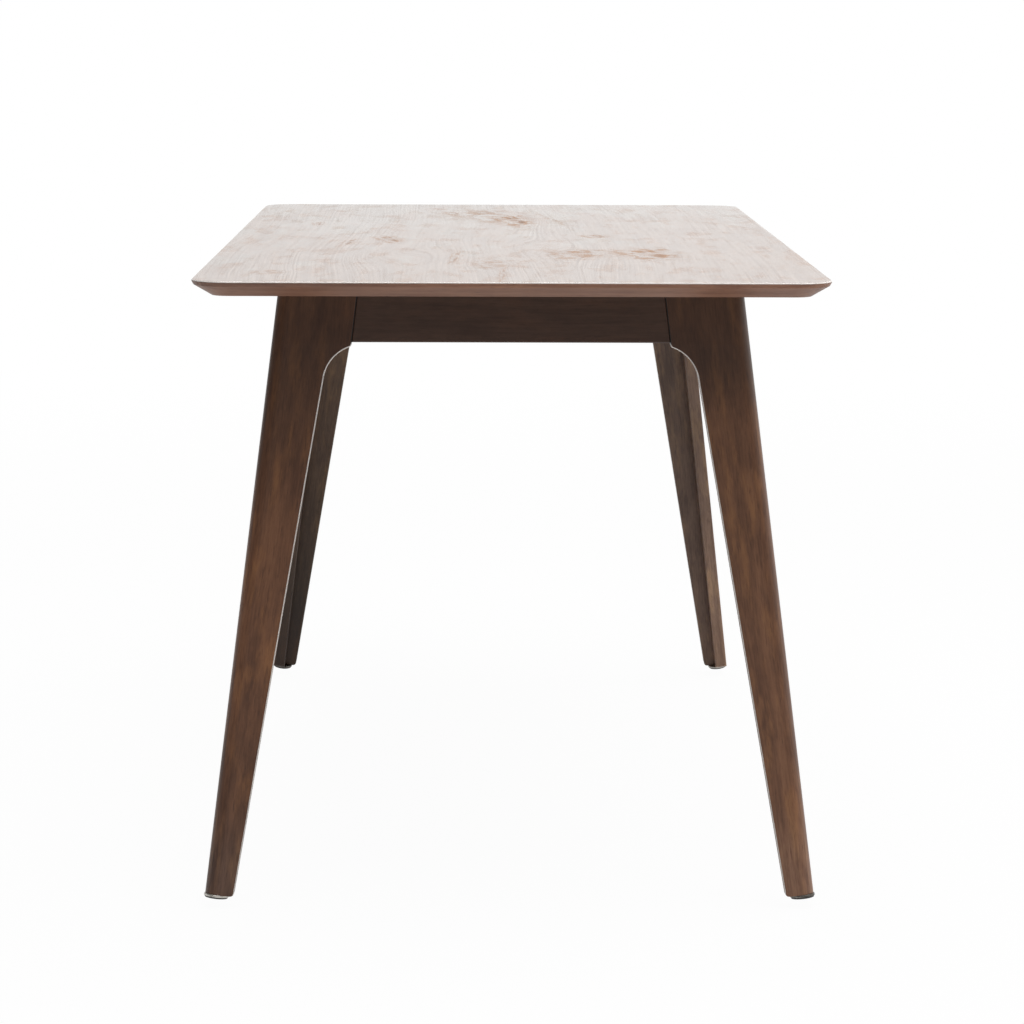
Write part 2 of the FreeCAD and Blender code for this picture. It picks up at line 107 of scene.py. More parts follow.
# values added up, each by its share
def blended(tree, *pairs):
    total = 0.0
    for value, share in pairs:
        total = calc(tree, "MULTIPLY_ADD", value, share, total)
    return total


# how far a value swings from its centre, scaled and added to another
def swing(tree, value, centre, gain, base):
    return calc(tree, "MULTIPLY_ADD", calc(tree, "SUBTRACT", value, centre), gain, base)


# what is left of the whole when a share of the value is taken off
def remainder(tree, value, share=1.0):
    return calc(tree, "SUBTRACT", 1.0, calc(tree, "MULTIPLY", value, share))


def ramp(tree, value, low, high, outLow=0.0, outHigh=1.0):
    inputs = {"Value": value, "From Min": low, "From Max": high, "To Min": outLow, "To Max": outHigh}
    return addNode(tree, "ShaderNodeMapRange", inputs, interpolation_type="SMOOTHSTEP").outputs[0]


# the mix node's sockets go by number, because its names repeat
def mixColour(tree, factor, first, second, blend="MIX"):
    inputs = {0: factor, 6: first, 7: second}
    return addNode(tree, "ShaderNodeMix", inputs, data_type="RGBA", blend_type=blend).outputs[2]


def mixValue(tree, factor, first, second):
    return addNode(tree, "ShaderNodeMix", {0: factor, 2: first, 3: second}, data_type="FLOAT").outputs[0]


def vectorCalc(tree, operation, first, second=(0, 0, 0)):
    node = addNode(tree, "ShaderNodeVectorMath", {0: first, 1: second}, operation=operation)
    return node.outputs["Value" if operation in ("LENGTH", "DOT_PRODUCT") else "Vector"]


def scaledBy(tree, vector, factor):
    return addNode(tree, "ShaderNodeVectorMath", {0: vector, "Scale": factor}, operation="SCALE").outputs[0]


def axes(tree, vector):
    return addNode(tree, "ShaderNodeSeparateXYZ", {0: vector}).outputs


def flatVector(tree, x, y):
    return addNode(tree, "ShaderNodeCombineXYZ", {"X": x, "Y": y}).outputs[0]


# one layer of a pattern: noise in a stretched space, cut to a band where the look names one
def layer(tree, vector, look, seed=None, output="Fac"):
    if "stretch" in look:
        vector = vectorCalc(tree, "MULTIPLY", vector, look["stretch"])
    inputs = {"Vector": vector, "W": look["seed"] if seed is None else seed, "Scale": look["scale"],
              "Detail": look["detail"], "Roughness": look["rough"]}
    value = addNode(tree, "ShaderNodeTexNoise", inputs, noise_dimensions="4D").outputs[output]
    return ramp(tree, value, *look["band"]) if "band" in look else value


def yearRings(tree, distance, width, look):
    inputs = {"W": calc(tree, "DIVIDE", distance, width), "Scale": 1.0, "Detail": look["detail"],
              "Roughness": look["rough"]}
    return addNode(tree, "ShaderNodeTexNoise", inputs, noise_dimensions="1D").outputs[0]


def startGroup(name, inputs):
    tree = bpy.data.node_groups.new(name, "ShaderNodeTree")
    for label, kind in inputs.items():
        tree.interface.new_socket(name=label, in_out="INPUT", socket_type="NodeSocket" + kind)
    return tree, tree.nodes.new("NodeGroupInput").outputs


def endGroup(tree, results):
    for label in results:
        tree.interface.new_socket(name=label, in_out="OUTPUT", socket_type="NodeSocketFloat")
    setInputs(tree, tree.nodes.new("NodeGroupOutput"), results)
    return tree


def useGroup(tree, group, inputs):
    return addNode(tree, "ShaderNodeGroup", inputs, node_tree=group).outputs


# timber: grain runs along Z of the vector that it is given, the heart of the tree stands on that axis
timberGrain = {
    "drift": {"stretch": (1, 1, 0.22), "scale": 9.0, "detail": 2.0, "rough": 0.5},
    "rings": {"detail": 1.5, "rough": 0.55},
    "fibres": {"stretch": (1, 1, 0.060), "scale": 520.0, "detail": 3.0, "rough": 0.62},
    "clouds": {"stretch": (1, 1, 0.30), "scale": 44.0, "detail": 5.0, "rough": 0.65},
    "flecks": {"stretch": (1, 1, 0.10), "scale": 380.0, "detail": 1.0, "rough": 0.4, "band": (0.58, 0.74)},
    "pores": {"stretch": (1, 1, 0.035), "scale": 1700.0, "detail": 1.0, "rough": 0.4, "band": (0.60, 0.72)},
    "fibreLift": 0.5,
    "poreLift": -0.8,
}


def makeTimberGroup(look):
    tree, given = startGroup(
        "timberGrain", {"Vector": "Vector", "Seed": "Float", "Ring Width": "Float", "Waviness": "Float"})
    seed = given["Seed"]
    drift = layer(tree, given["Vector"], look["drift"], seed, "Color")
    centred = vectorCalc(tree, "SUBTRACT", drift, (0.5, 0.5, 0.5))
    bent = vectorCalc(tree, "ADD", given["Vector"], scaledBy(tree, centred, given["Waviness"]))
    radius = vectorCalc(tree, "LENGTH", vectorCalc(tree, "MULTIPLY", bent, (1, 1, 0)))
    fibres = layer(tree, bent, look["fibres"], seed)
    pores = layer(tree, bent, look["pores"], seed)
    return endGroup(tree, {
        "Rings": yearRings(tree, radius, given["Ring Width"], look["rings"]),
        "Fibres": fibres,
        "Clouds": layer(tree, bent, look["clouds"], seed),
        "Flecks": layer(tree, bent, look["flecks"], seed),
        "Pores": pores,
        "Height": blended(tree, (pores, look["poreLift"]), (fibres, look["fibreLift"])),
    })


# lacquer: soft unevenness of a sprayed coat and the marks of handling
lacquerSkin = {
    "smears": {"scale": 7.0, "detail": 4.0, "rough": 0.6, "seed": 3.1},
    "specks": {"scale": 160.0, "detail": 2.0, "rough": 0.5, "seed": 8.4},
    "peel": {"scale": 420.0, "detail": 1.0, "rough": 0.5, "seed": 1.7},
    "speckShare": 0.35,
    "centre": 0.675,
    "coatIor": 1.5,
    "specular": 0.2,
}


def makeLacquerGroup(look):
    tree, given = startGroup("lacquerSkin", {"Vector": "Vector", "Roughness": "Float", "Spread": "Float"})
    smears = layer(tree, given["Vector"], look["smears"])
    specks = layer(tree, given["Vector"], look["specks"])
    both = calc(tree, "MULTIPLY_ADD", specks, look["speckShare"], smears)
    return endGroup(tree, {
        "Roughness": swing(tree, both, look["centre"], given["Spread"], given["Roughness"]),
        "Height": layer(tree, given["Vector"], look["peel"]),
    })


timberGroup = makeTimberGroup(timberGrain)
lacquerGroup = makeLacquerGroup(lacquerSkin)
print("node groups made")


def startMaterial(name):
    material = bpy.data.materials.new(name)
    material.use_nodes = True
    tree = material.node_tree
    place = addNode(tree, "ShaderNodeTexCoord", {}).outputs["Object"]
    return material, tree, tree.nodes["Principled BSDF"], place


def bumpNormal(tree, shader, height, distance):
    bump = addNode(tree, "ShaderNodeBump", {"Height": height, "Distance": distance, "Strength": 1.0})
    tree.links.new(bump.outputs[0], shader.inputs["Normal"])


# satin lacquer over every finished face
def lacquerCoat(tree, shader, weight, coatRoughness):
    setInputs(tree, shader, {"Coat Weight": weight, "Coat Roughness": coatRoughness,
                             "Coat IOR": lacquerSkin["coatIor"],
                             "Specular IOR Level": lacquerSkin["specular"]})


def dress(name, material):
    data = nodes[name].data
    data.materials.clear()
    data.materials.append(material)


# stained hardwood of the base and the rim: one finish, grain along each piece
legWood = {
    "dark": (0.066, 0.026, 0.012, 1),
    "light": (0.190, 0.090, 0.044, 1),
    "amber": (0.270, 0.125, 0.048, 1),
    "pore": (0.030, 0.012, 0.007, 1),
    "amberShare": 0.60,
    "roughness": 0.50,
    "roughSpread": 0.16,
    "grainDepth": 0.00004,
    "coat": 0.60,
    "coatRoughness": 0.38,
}
apronWood = dict(legWood, dark=(0.049, 0.022, 0.013, 1), light=(0.100, 0.053, 0.034, 1),
                 amber=(0.125, 0.056, 0.030, 1), amberShare=0.35)
rimWood = dict(legWood, dark=(0.125, 0.050, 0.026, 1), light=(0.225, 0.105, 0.060, 1),
               amber=(0.250, 0.110, 0.056, 1), amberShare=0.4, coat=0.45, coatRoughness=0.42)
backVeneer = dict(legWood, dark=(0.090, 0.048, 0.026, 1), light=(0.250, 0.150, 0.090, 1),
                  amber=(0.260, 0.140, 0.070, 1), amberShare=0.25, roughness=0.55, coat=0.0)
rawBeech = dict(legWood, dark=(0.360, 0.215, 0.115, 1), light=(0.560, 0.390, 0.240, 1),
                amber=(0.520, 0.330, 0.180, 1), pore=(0.270, 0.150, 0.080, 1), amberShare=0.3,
                roughness=0.62, coat=0.0)

# how the timber's layers make up its colour and relief
woodBlend = {
    "waviness": 0.030,
    "ringShare": 0.35,
    "fibreShare": 0.45,
    "cloudShare": 0.70,
    "toneBand": (0.45, 1.05),
    "glow": {"stretch": (1, 1, 0.20), "scale": 66.0, "detail": 4.0, "rough": 0.62},
    "glowBand": (0.48, 0.72),
    "glowSeed": 5.0,           # on from the seed of the grain
    "fleckShade": 0.45,
    "poreShade": 0.5,
    "peelShare": 0.25,
}


def dressWood(name, along, heart, seed, look, ringWidth=0.006, finish=None, setup=None):
    mix = woodBlend
    material, tree, shader, place = startMaterial(name + "_wood")
    turn = Vector(along).rotation_difference(Vector((0, 0, 1))).to_euler()
    inputs = {"Vector": place, "Rotation": turn, "Location": heart}
    vector = addNode(tree, "ShaderNodeMapping", inputs).outputs[0]
    grain = useGroup(tree, timberGroup, {"Vector": vector, "Seed": seed, "Ring Width": ringWidth,
                                         "Waviness": mix["waviness"]})
    tone = blended(tree, (grain["Rings"], mix["ringShare"]), (grain["Fibres"], mix["fibreShare"]),
                   (grain["Clouds"], mix["cloudShare"]))
    colour = mixColour(tree, ramp(tree, tone, *mix["toneBand"]), look["dark"], look["light"])
    glow = layer(tree, vector, mix["glow"], seed + mix["glowSeed"])
    amber = ramp(tree, glow, *mix["glowBand"], 0.0, look["amberShare"])
    colour = mixColour(tree, amber, colour, look["amber"])
    colour = mixColour(tree, product(tree, grain["Flecks"], mix["fleckShade"]), colour, look["dark"])
    colour = mixColour(tree, product(tree, grain["Pores"], mix["poreShade"]), colour, look["pore"])
    if finish:
        colour = finish(tree, place, colour, setup)
    tree.links.new(colour, shader.inputs["Base Color"])
    skin = useGroup(tree, lacquerGroup, {"Vector": place, "Roughness": look["roughness"],
                                         "Spread": look["roughSpread"]})
    tree.links.new(skin["Roughness"], shader.inputs["Roughness"])
    lacquerCoat(tree, shader, look["coat"], look["coatRoughness"])
    height = calc(tree, "MULTIPLY_ADD", skin["Height"], mix["peelShare"], grain["Height"])
    bumpNormal(tree, shader, height, look["grainDepth"])
    dress(name, material)


# corner legs, heights in metres: which way each stands, the painted shade and light at the head, in the
# middle and at the foot of its wings (darker under the top, lighter towards the floor), the painted grey
# sheen above and at the foot, the heights between which it turns to the painted shade of the head, and how
# strongly its inner edges carry a painted highlight
cornerLegs = {
    "front_left": {
        "way": (-1, -1),
        "paintedShadeTones": {"side_wing": (0.65, 1.30, 0.95), "end_wing": (0.65, 1.44, 1.14)},
        "paintedSheen": (1.06, 0.99, 0.98, 1),
        "footSheen": (1.04, 1.18, 1.58, 1),
        "turn": (0.42, 0.68),
        "wear": 1.0,
    },
    "front_right": {
        "way": (1, -1),
        "paintedShadeTones": {"side_wing": (0.70, 1.42, 1.42), "end_wing": (0.68, 1.42, 1.62)},
        "paintedSheen": (1.0, 0.97, 1.0, 1),
        "footSheen": (1.32, 1.45, 1.75, 1),
        "turn": (0.56, 0.65),
        "wear": 1.0,
    },
    "back_left": {
        "way": (-1, 1),
        "paintedShadeTones": {"side_wing": (1.00, 0.90, 0.46), "end_wing": (1.55, 1.10, 0.40)},
        "paintedSheen": (1.03, 1.30, 1.58, 1),
        "footSheen": (1.02, 1.06, 1.12, 1),
        "turn": (0.42, 0.68),
        "wear": 0.04,
    },
    "back_right": {
        "way": (1, 1),
        "paintedShadeTones": {"side_wing": (1.25, 1.28, 2.45), "end_wing": (0.95, 1.18, 1.42)},
        "paintedSheen": (1.18, 1.58, 2.28, 1),
        "footSheen": (1.18, 1.56, 2.15, 1),
        "turn": (0.42, 0.68),
        "wear": 0.04,
    },
}

# what the legs, aprons and rim share, each with its own cut of the timber
baseFrame = {
    "splay": math.tan(math.radians(7.0)),
    "heartDepth": 0.085,             # from the outer face to the heart of the tree
    "apronHeart": (0.05, 0.03, 0.02),    # the last is taken once for each step of the seed
    "rimHeart": (0.02, 0.06, 0.03),
    "seedStep": 1.7,
    "rimSeed": 0.6,
    "shadeHeights": (0.02, 0.42),    # between which the painted shade and light of the foot turns to the middle's
    "footSheenHeights": (0.13, 0.03),     # between which the painted grey sheen of the foot comes in
    "edgeTurn": (0.03, 0.16),        # a rounded edge looks this far away from the sides
    "faceTurn": (0.995, 0.93),       # and this far away from the face
    "cornerTurn": (0.10, -0.05),     # and not to the leg's corner
    "jointShadeBlur": 0.003,
    # a pale line painted along the legs' inner edges as a highlight, broken by noise
    "highlightBreaks": {"scale": 90.0, "detail": 3.0, "rough": 0.6, "seed": 4.4},
    "highlightBand": (0.25, 0.50),
    "highlightLeast": 0.7,
    # the pale colour of the painted highlights on the legs and on the rim
    "highlightPale": (0.93, 0.87, 0.82, 1),
    # near black painted shade in the joint between leg and apron
    "joint": (0.010, 0.006, 0.005, 1),
    # the nose and the bevel get lit and shaded copies of one stain, as painted light and shade
    "noseTone": (1.84, 1.96, 2.10, 1),
    "noseLeftShade": (1.24, 1.36, 1.58, 1),
    "noseShadeTurn": (-0.30, 0.0),        # between which the painted shade of the left part turns to the rest's tone
    "noseDrop": (0.0071, 0.0061),    # below the face, where the nose of the rim starts and where it is full
    "noseHighlightDrop": (0.0019, 0.0015),     # and where the painted highlight along its top does
    "bevelTone": (1.38, 1.48, 1.62, 1),
}
sideWays = {"front": (1, 0, 0), "back": (1, 0, 0), "left": (0, 1, 0), "right": (0, 1, 0)}


# leg finish: painted shade and light along the height, a painted highlight along the inner edges below the
# apron, painted shade in the joint beside it
def legFinish(tree, place, colour, leg):
    # painted shade at the head and painted light lower down, as set for each wing, then the painted grey
    # sheen
    head, middle, foot = leg["stain"]
    height = axes(tree, place)["Z"]
    lower = ramp(tree, height, *leg["shadeHeights"], foot, middle)
    upper = ramp(tree, height, *leg["turn"], 1.0, head / middle)
    colour = scaledBy(tree, colour, product(tree, lower, upper))
    paintedSheen = mixColour(tree, ramp(tree, height, *leg["footSheenHeights"]), leg["paintedSheen"], leg["footSheen"])
    colour = vectorCalc(tree, "MULTIPLY", colour, paintedSheen)
    normal = addNode(tree, "ShaderNodeTexCoord", {}).outputs["Normal"]
    facing = calc(tree, "ABSOLUTE", vectorCalc(tree, "DOT_PRODUCT", normal, leg["inward"]))
    cornerwards = vectorCalc(tree, "DOT_PRODUCT", normal, leg["cornerwards"])
    edge = product(tree, ramp(tree, facing, *leg["edgeTurn"]), ramp(tree, facing, *leg["faceTurn"]),
                   ramp(tree, cornerwards, *leg["cornerTurn"]))
    below = ramp(tree, height, leg["apronLow"], leg["apronLow"] - leg["jointShadeBlur"])
    # the painted highlight along the inner edges below the apron, as strong as each leg's share
    least = leg["highlightLeast"] * leg["wear"]
    wear = ramp(tree, layer(tree, place, leg["highlightBreaks"]), *leg["highlightBand"], least, leg["wear"])
    colour = mixColour(tree, product(tree, edge, below, wear), colour, leg["highlightPale"])
    # painted shade on the inner edges above the apron's lower edge, where the leg meets the apron
    return mixColour(tree, product(tree, edge, remainder(tree, below)), colour, leg["joint"])


# rim finish: nose and bevel carry lit and shaded copies of one stain, the left of the nose is darker as
# painted shade, the top of the nose carries a painted highlight
def rimFinish(tree, place, colour, rim):
    part = axes(tree, place)
    noseLow, noseFull = (rim["face"] - drop for drop in rim["noseDrop"])
    rubLow, rubFull = (rim["face"] - drop for drop in rim["noseHighlightDrop"])
    tone = mixColour(tree, ramp(tree, part["X"], *rim["noseShadeTurn"]), rim["noseLeftShade"], rim["noseTone"])
    tone = mixColour(tree, ramp(tree, part["Z"], noseLow, noseFull), rim["bevelTone"], tone)
    colour = vectorCalc(tree, "MULTIPLY", colour, tone)
    # the top of the nose painted pale as a highlight
    return mixColour(tree, ramp(tree, part["Z"], rubLow, rubFull), colour, rim["highlightPale"])


def dressBase(setup):
    seed = 1.0
    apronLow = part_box("apron_front")[0].z
    for corner, leg in cornerLegs.items():
        sx, sy = leg["way"]
        along = (-sx * setup["splay"], -sy * setup["splay"], 1)
        # each wing's painted shade and light along its height
        for wing, stain in leg["paintedShadeTones"].items():
            name = "leg_" + corner + "_" + wing
            low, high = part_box(name)
            inward, cornerwards = Vector((-sx, 0, 0)), Vector((0, sy, 0))
            if wing == "end_wing":
                inward, cornerwards = Vector((0, -sy, 0)), Vector((sx, 0, 0))
            heart = -((low + high) / 2 + inward * setup["heartDepth"])
            look = dict(setup, **leg, stain=stain, inward=inward, cornerwards=cornerwards)
            look["apronLow"] = apronLow
            dressWood(name, along, heart, seed, legWood, finish=legFinish, setup=look)
            seed += setup["seedStep"]
    rim = dict(setup, face=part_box("top_face_veneer")[1].z)
    for side, along in sideWays.items():
        x, y, z = setup["apronHeart"]
        dressWood("apron_" + side, along, (x, y, z * seed), seed, apronWood)
        x, y, z = setup["rimHeart"]
        dressWood("top_lipping_" + side, along, (x, y, z * seed), seed + setup["rimSeed"], rimWood,
                  finish=rimFinish, setup=rim)
        seed += setup["seedStep"]


dressBase(baseFrame)
print("base dressed")

# figured veneer of the top: grain along Y, pushed aside by the knots that the photograph shows
knotFlow = {
    "ragged": {"scale": 1.3, "detail": 3.0, "rough": 0.6, "seed": 1.1},
    "raggedReach": 2.4,
    "sway": {"scale": 0.7, "detail": 1.0, "rough": 0.5, "seed": 6.3},
    "swayReach": 3.0,
    "bandsAcross": 1.7,
    "bandsAlong": 2.2,
    "strands": {"scale": 1.0, "detail": 2.0, "rough": 0.55, "seed": 2.9, "band": (0.45, 0.57, 0.10, 1.0)},
    "heartReach": (0.95, 0.15),    # in half sizes of the knot, where the heart ends and where it is full
    "stainReach": (2.0, 0.5),
}
veneerLook = {
    "light": (0.345, 0.210, 0.132, 1),
    "dark": (0.165, 0.090, 0.052, 1),
    "cloud": (0.190, 0.104, 0.061, 1),
    "blushTint": (1.16, 1.08, 0.99, 1),
    "coolTint": (0.93, 1.05, 1.12, 1),
    "stain": (0.348, 0.175, 0.079, 1),
    "heart": (0.188, 0.081, 0.031, 1),
    # pale colour of the painted highlight along the top's rim
    "edge": (0.960, 0.885, 0.845, 1),
    "highlightDrop": (0.00006, 0.00030),    # below the face, where the painted highlight along the rim starts and where it is full
    "drift": {"stretch": (2.0, 1.0, 0), "scale": 1.6, "detail": 1.5, "rough": 0.45, "seed": 4.2},
    "driftReach": 0.050,
    "ringWidth": 0.0023,
    "rings": {"detail": 2.0, "rough": 0.6},
    "alongGrain": 0.02,                # how far the layers below are drawn out along the grain
    "fibres": {"scale": 420.0, "detail": 3.0, "rough": 0.6, "seed": 2.0},
    "pores": {"scale": 1500.0, "detail": 1.0, "rough": 0.4, "seed": 6.0, "band": (0.60, 0.72)},
    "streaks": {"scale": 190.0, "detail": 2.0, "rough": 0.55, "seed": 3.4, "band": (0.53, 0.66)},
    "clouds": {"stretch": (1, 5.0, 0), "scale": 46.0, "detail": 5.0, "rough": 0.65, "seed": 5.9,
               "band": (0.42, 0.64, 0.0, 0.70)},
    "patches": {"stretch": (3.0, 0.8, 0), "scale": 6.0, "detail": 6.0, "rough": 0.68, "seed": 7.7},
    "patchReach": 3.4,
    "coolLean": (-0.375, 0.50),        # the cool patches lie to the left and to the back
    "coolBand": (0.09, 0.25),
    "blush": {"stretch": (4.0, 1.5, 0), "scale": 7.0, "detail": 6.0, "rough": 0.68, "seed": 1.3,
              "band": (0.49, 0.63)},
    "shown": {"stretch": (3.0, 1.0, 0), "scale": 5.0, "detail": 3.0, "rough": 0.6, "seed": 9.1,
              "band": (0.40, 0.62, 0.35, 1.0)},
    "ringShare": 0.75,
    "fibreShare": 0.55,
    "toneCentre": 0.65,
    "toneBand": (0.42, 0.88),
    "openBand": (0.78, 0.52),
    "streakShade": 0.30,
    "poreShade": 0.35,
    "roughness": 0.31,
    "roughSpread": 0.12,
    "knotRoughness": 0.50,
    "coatCool": 0.98,
    "coatWarm": 0.90,
    "knotDry": 0.85,                   # how far the lacquer sank into the knots
    "blushDry": 0.34,                  # into the blushed patches
    "grainDry": 0.20,                  # into the open grain
    "streakDry": 0.17,                 # and into the dark streaks
    "coatRoughness": 0.16,
    "fibreLift": 0.5,
    "poreLift": -0.8,
    "grainDepth": 0.000003,
    # place, half width and half length in metres, slant, strength of the heart and of the stain round it
    "marks": [
        {"place": (0.015, 0.335, 0), "size": (0.024, 0.090, 1), "slant": -0.10, "heart": 0.9, "stain": 1.0},
        {"place": (-0.020, 0.420, 0), "size": (0.050, 0.110, 1), "slant": -0.20, "heart": 0.0, "stain": 0.6},
        {"place": (0.068, 0.385, 0), "size": (0.005, 0.115, 1), "slant": -0.15, "heart": 0.7, "stain": 0.5},
        {"place": (-0.075, 0.490, 0), "size": (0.012, 0.028, 1), "slant": -0.10, "heart": 0.9, "stain": 0.6},
        {"place": (-0.030, 0.530, 0), "size": (0.018, 0.024, 1), "slant": 0.0, "heart": 0.4, "stain": 0.6},
        {"place": (-0.272, 0.255, 0), "size": (0.008, 0.026, 1), "slant": 0.0, "heart": 0.9, "stain": 0.6},
        {"place": (0.125, 0.020, 0), "size": (0.018, 0.022, 1), "slant": 0.0, "heart": 0.8, "stain": 0.9},
        {"place": (-0.16, -0.045, 0), "size": (0.015, 0.050, 1), "slant": -0.15, "heart": 0.7, "stain": 0.8},
        {"place": (-0.213, -0.100, 0), "size": (0.008, 0.050, 1), "slant": 0.10, "heart": 0.7, "stain": 0.6},
        {"place": (0.180, -0.285, 0), "size": (0.034, 0.065, 1), "slant": -0.10, "heart": 0.5, "stain": 1.0},
        {"place": (0.090, -0.290, 0), "size": (0.032, 0.060, 1), "slant": 0.05, "heart": 0.0, "stain": 0.8},
        {"place": (-0.068, -0.340, 0), "size": (0.006, 0.080, 1), "slant": 0.05, "heart": 0.6, "stain": 0.6},
        {"place": (-0.020, -0.450, 0), "size": (0.024, 0.050, 1), "slant": 0.0, "heart": 0.0, "stain": 0.5},
        {"place": (-0.010, -0.590, 0), "size": (0.004, 0.085, 1), "slant": 0.03, "heart": 0.5, "stain": 0.5},
        {"place": (-0.290, -0.570, 0), "size": (0.016, 0.024, 1), "slant": 0.0, "heart": 0.3, "stain": 0.5},
        {"place": (0.050, -0.180, 0), "size": (0.080, 0.260, 1), "slant": -0.10, "heart": 0.0, "stain": 0.0},
        {"place": (-0.130, -0.320, 0), "size": (0.060, 0.200, 1), "slant": 0.12, "heart": 0.0, "stain": 0.0},
    ],
}


def makeKnotGroup(look):
    tree, given = startGroup(
        "knotFlow", {"Vector": "Vector", "Place": "Vector", "Size": "Vector", "Slant": "Float"})
    part = axes(tree, vectorCalc(tree, "SUBTRACT", given["Vector"], given["Place"]))
    across = calc(tree, "SUBTRACT", part["X"], product(tree, part["Y"], given["Slant"]))
    inSizes = vectorCalc(tree, "DIVIDE", flatVector(tree, across, part["Y"]), given["Size"])
    distance = vectorCalc(tree, "LENGTH", inSizes)
    reach = swing(tree, layer(tree, inSizes, look["ragged"]), 0.5, look["raggedReach"], distance)
    side = axes(tree, inSizes)
    sway = layer(tree, inSizes, look["sway"])
    bands = blended(tree, (side["X"], look["bandsAcross"]), (sway, look["swayReach"]))
    threads = flatVector(tree, bands, product(tree, side["Y"], look["bandsAlong"]))
    strands = layer(tree, threads, look["strands"])
    fall = calc(tree, "ADD", product(tree, distance, distance), 1.0)
    return endGroup(tree, {
        "Shift": calc(tree, "DIVIDE", product(tree, across, -1.0), product(tree, fall, fall)),
        "Heart": product(tree, ramp(tree, reach, *look["heartReach"]), strands),
        "Stain": product(tree, ramp(tree, reach, *look["stainReach"]), strands),
    })


def veneerMaterial(look):
    material, tree, shader, place = startMaterial("top_face_veneer_wood")
    part = axes(tree, place)
    knotGroup = makeKnotGroup(knotFlow)
    track = swing(tree, layer(tree, place, look["drift"]), 0.5, look["driftReach"], part["X"])
    heart = 0.0
    stain = 0.0
    for mark in look["marks"]:
        flow = useGroup(tree, knotGroup, {"Vector": place, "Place": mark["place"], "Size": mark["size"],
                                          "Slant": mark["slant"]})
        track = calc(tree, "ADD", track, flow["Shift"])
        heart = calc(tree, "MAXIMUM", heart, product(tree, flow["Heart"], mark["heart"]))
        stain = calc(tree, "MAXIMUM", stain, product(tree, flow["Stain"], mark["stain"]))

    along = flatVector(tree, track, product(tree, part["Y"], look["alongGrain"]))
    rings = yearRings(tree, track, look["ringWidth"], look["rings"])
    fibres = layer(tree, along, look["fibres"])
    pores = layer(tree, along, look["pores"])
    streaks = layer(tree, along, look["streaks"])
    clouds = layer(tree, along, look["clouds"])
    patches = layer(tree, place, look["patches"])
    blush = layer(tree, place, look["blush"])
    shown = layer(tree, place, look["shown"])
    toLeft, toBack = look["coolLean"]
    leaning = blended(tree, (part["X"], toLeft), (part["Y"], toBack))
    cool = ramp(tree, swing(tree, patches, 0.5, look["patchReach"], leaning), *look["coolBand"])
    tone = blended(tree, (rings, look["ringShare"]), (fibres, look["fibreShare"]))
    tone = swing(tree, tone, look["toneCentre"], shown, look["toneCentre"])
    openGrain = ramp(tree, tone, *look["openBand"])

    colour = mixColour(tree, ramp(tree, tone, *look["toneBand"]), look["dark"], look["light"])
    colour = mixColour(tree, product(tree, streaks, look["streakShade"]), colour, look["dark"])
    colour = mixColour(tree, clouds, colour, look["cloud"])
    colour = mixColour(tree, blush, colour, look["blushTint"], "MULTIPLY")
    colour = mixColour(tree, cool, colour, look["coolTint"], "MULTIPLY")
    colour = mixColour(tree, stain, colour, look["stain"])
    colour = mixColour(tree, heart, colour, look["heart"])
    colour = mixColour(tree, product(tree, pores, look["poreShade"]), colour, look["dark"])
    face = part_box("top_face_veneer")[1].z
    start, full = look["highlightDrop"]
    # the rim of the veneer painted pale as a highlight
    colour = mixColour(tree, ramp(tree, part["Z"], face - start, face - full), colour, look["edge"])
    tree.links.new(colour, shader.inputs["Base Color"])

    knots = calc(tree, "MAXIMUM", heart, stain)
    skin = useGroup(tree, lacquerGroup, {"Vector": place, "Roughness": look["roughness"],
                                         "Spread": look["roughSpread"]})
    rough = mixValue(tree, knots, skin["Roughness"], look["knotRoughness"])
    tree.links.new(rough, shader.inputs["Roughness"])
    weight = mixValue(tree, cool, look["coatWarm"], look["coatCool"])
    sunk = {"knotDry": knots, "blushDry": blush, "grainDry": openGrain, "streakDry": streaks}
    for key, mask in sunk.items():
        weight = product(tree, weight, remainder(tree, mask, look[key]))
    lacquerCoat(tree, shader, weight, look["coatRoughness"])
    relief = blended(tree, (fibres, look["fibreLift"]), (pores, look["poreLift"]))
    bumpNormal(tree, shader, relief, look["grainDepth"])
    return material


dress("top_face_veneer", veneerMaterial(veneerLook))
print("top dressed")

# inner frame: plain veneer below the top, pressed board and raw beech
coreBoard = {
    "dark": (0.30, 0.19, 0.10, 1),
    "light": (0.62, 0.47, 0.30, 1),
    "chipStretch": (1, 1, 2.5),
    "chipScale": 420.0,
    "chipShare": 0.6,
    "dust": {"scale": 900.0, "detail": 3.0, "rough": 0.6, "seed": 5.5},
    "dustShare": 0.5,
    "roughBand": (0.3, 0.7, 0.75, 0.92),
    "depth": 0.00015,
}
insideWood = {
    "centre_rail": {"along": (1, 0, 0), "heart": (0.04, 0.05, 0.02), "seed": 41.0, "ringWidth": 0.004},
    "apron_dowels": {"along": (1, 1, 0), "heart": (0.0, 0.0, 0.0), "seed": 61.0, "ringWidth": 0.003},
    "rail_dowels": {"along": (1, 0, 0), "heart": (0.0, 0.0, 0.0), "seed": 63.0, "ringWidth": 0.003},
}
cornerWood = {
    "braceHeart": (0.03, 0.04, 0.01),
    "postHeart": (0.05, 0.03, 0.02),
    "ringWidth": 0.004,
    "seed": 43.0,
    "postSeed": 0.9,
    "seedStep": 2.3,
}
backSheet = {"along": (0, 1, 0), "heart": (0.02, 0.45, 0.31), "seed": 31.0, "ringWidth": 0.009}


